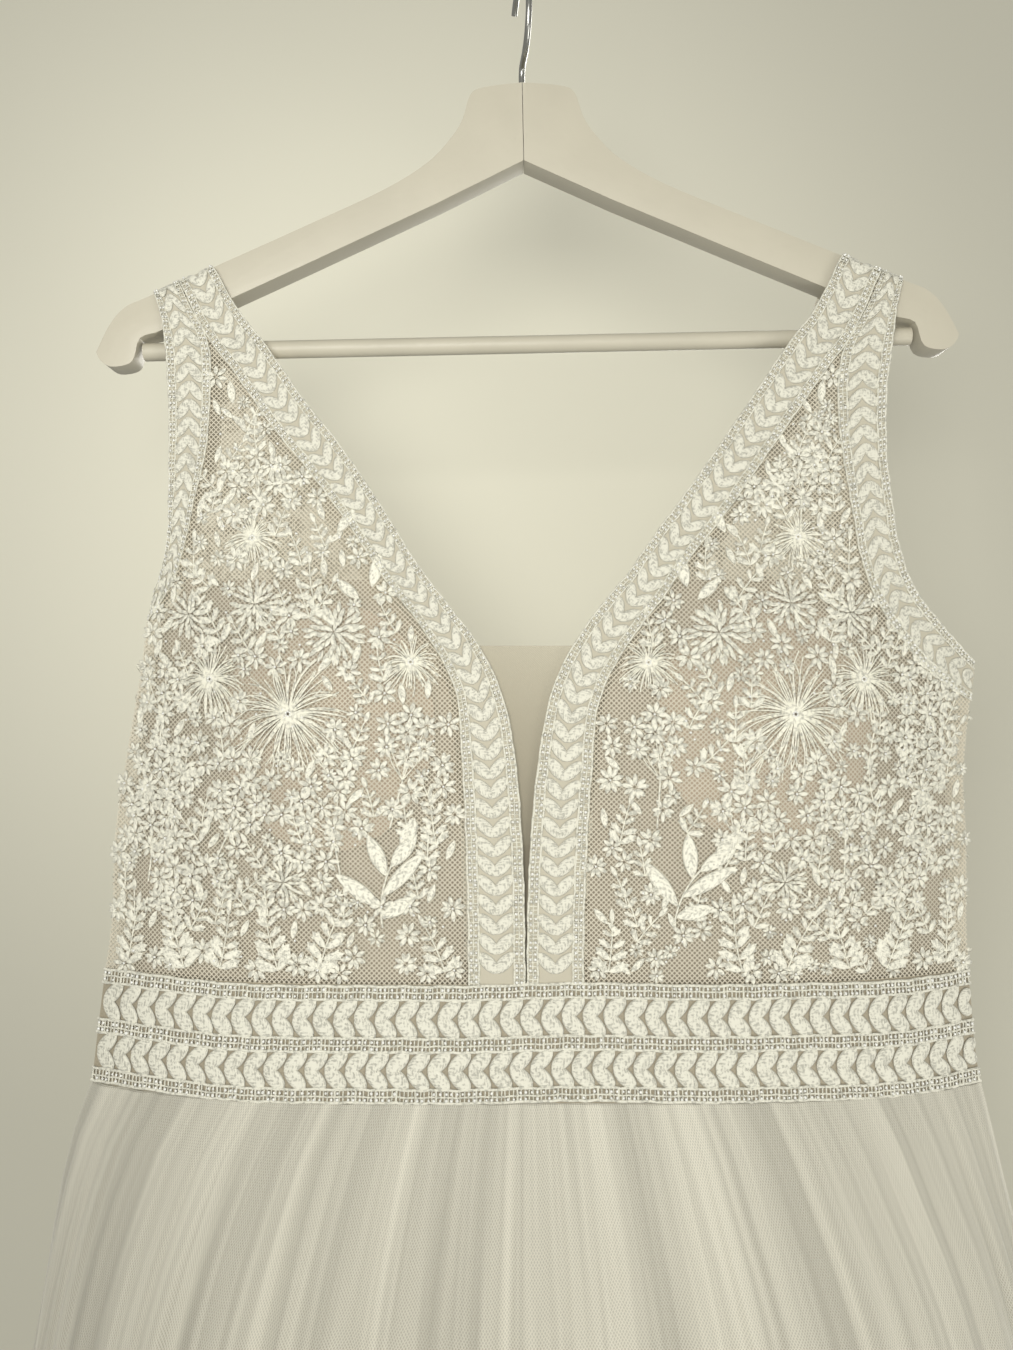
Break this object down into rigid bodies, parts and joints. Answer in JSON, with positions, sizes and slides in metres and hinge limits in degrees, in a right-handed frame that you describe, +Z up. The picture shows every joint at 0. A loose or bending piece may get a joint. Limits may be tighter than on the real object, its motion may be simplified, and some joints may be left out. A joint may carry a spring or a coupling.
{
  "type": "wedding dress on a wooden hanger",
  "caption": "Sleeveless floor-length wedding dress with a deep V neck, lace bodice, leaf trims and gathered tulle skirt, hung flat on a wooden hanger.",
  "frame": {"origin": "the inside top of the hanger's hook, where it bears on a rail", "axes": "+X to the viewer's right, +Y from the front of the dress to its back, +Z up; the hem is at the lowest Z"},
  "size_m": [0.7939, 0.2786, 1.6481],
  "materials": {
    "painted_wood": "satin off-white paint over smooth wood",
    "hook_wire": "plain bright steel wire",
    "lace_net": "nude diamond net with ivory cord embroidery",
    "nude_mesh": "fine matt nude mesh",
    "cup_cloth": "smooth matt moulded cloth",
    "lace_trim": "ivory corded lace with leaf pairs and beaded borders",
    "ivory_satin": "soft ivory satin",
    "tulle": "soft ivory tulle in layers"
  },
  "bodies": {
    "root": {"hanger_arm_left": "painted_wood", "hanger_arm_right": "painted_wood", "hanger_bar": "painted_wood", "hanger_hook": "hook_wire", "front_net_left": "lace_net", "front_net_right": "lace_net", "back_net_left": "lace_net", "back_net_right": "lace_net", "cup_left": "cup_cloth", "cup_right": "cup_cloth", "front_lining_left": "nude_mesh", "front_lining_right": "nude_mesh", "neck_insert": "nude_mesh", "neck_trim_front_left": "lace_trim", "neck_trim_front_right": "lace_trim", "neck_trim_back_left": "lace_trim", "neck_trim_back_right": "lace_trim", "arm_trim_front_left": "lace_trim", "arm_trim_front_right": "lace_trim", "arm_trim_back_left": "lace_trim", "arm_trim_back_right": "lace_trim", "waist_upper_front": "lace_trim", "waist_lower_front": "lace_trim", "waist_upper_back_left": "lace_trim", "waist_upper_back_right": "lace_trim", "waist_lower_back_left": "lace_trim", "waist_lower_back_right": "lace_trim", "back_placket": "ivory_satin", "back_button_1": "ivory_satin", "back_button_2": "ivory_satin", "back_button_3": "ivory_satin", "back_button_4": "ivory_satin", "back_button_5": "ivory_satin", "back_button_6": "ivory_satin", "back_button_7": "ivory_satin", "skirt_tulle_front": "tulle", "skirt_tulle_back": "tulle", "underskirt_front": "ivory_satin", "underskirt_back": "ivory_satin"}
  },
  "joints": []
}
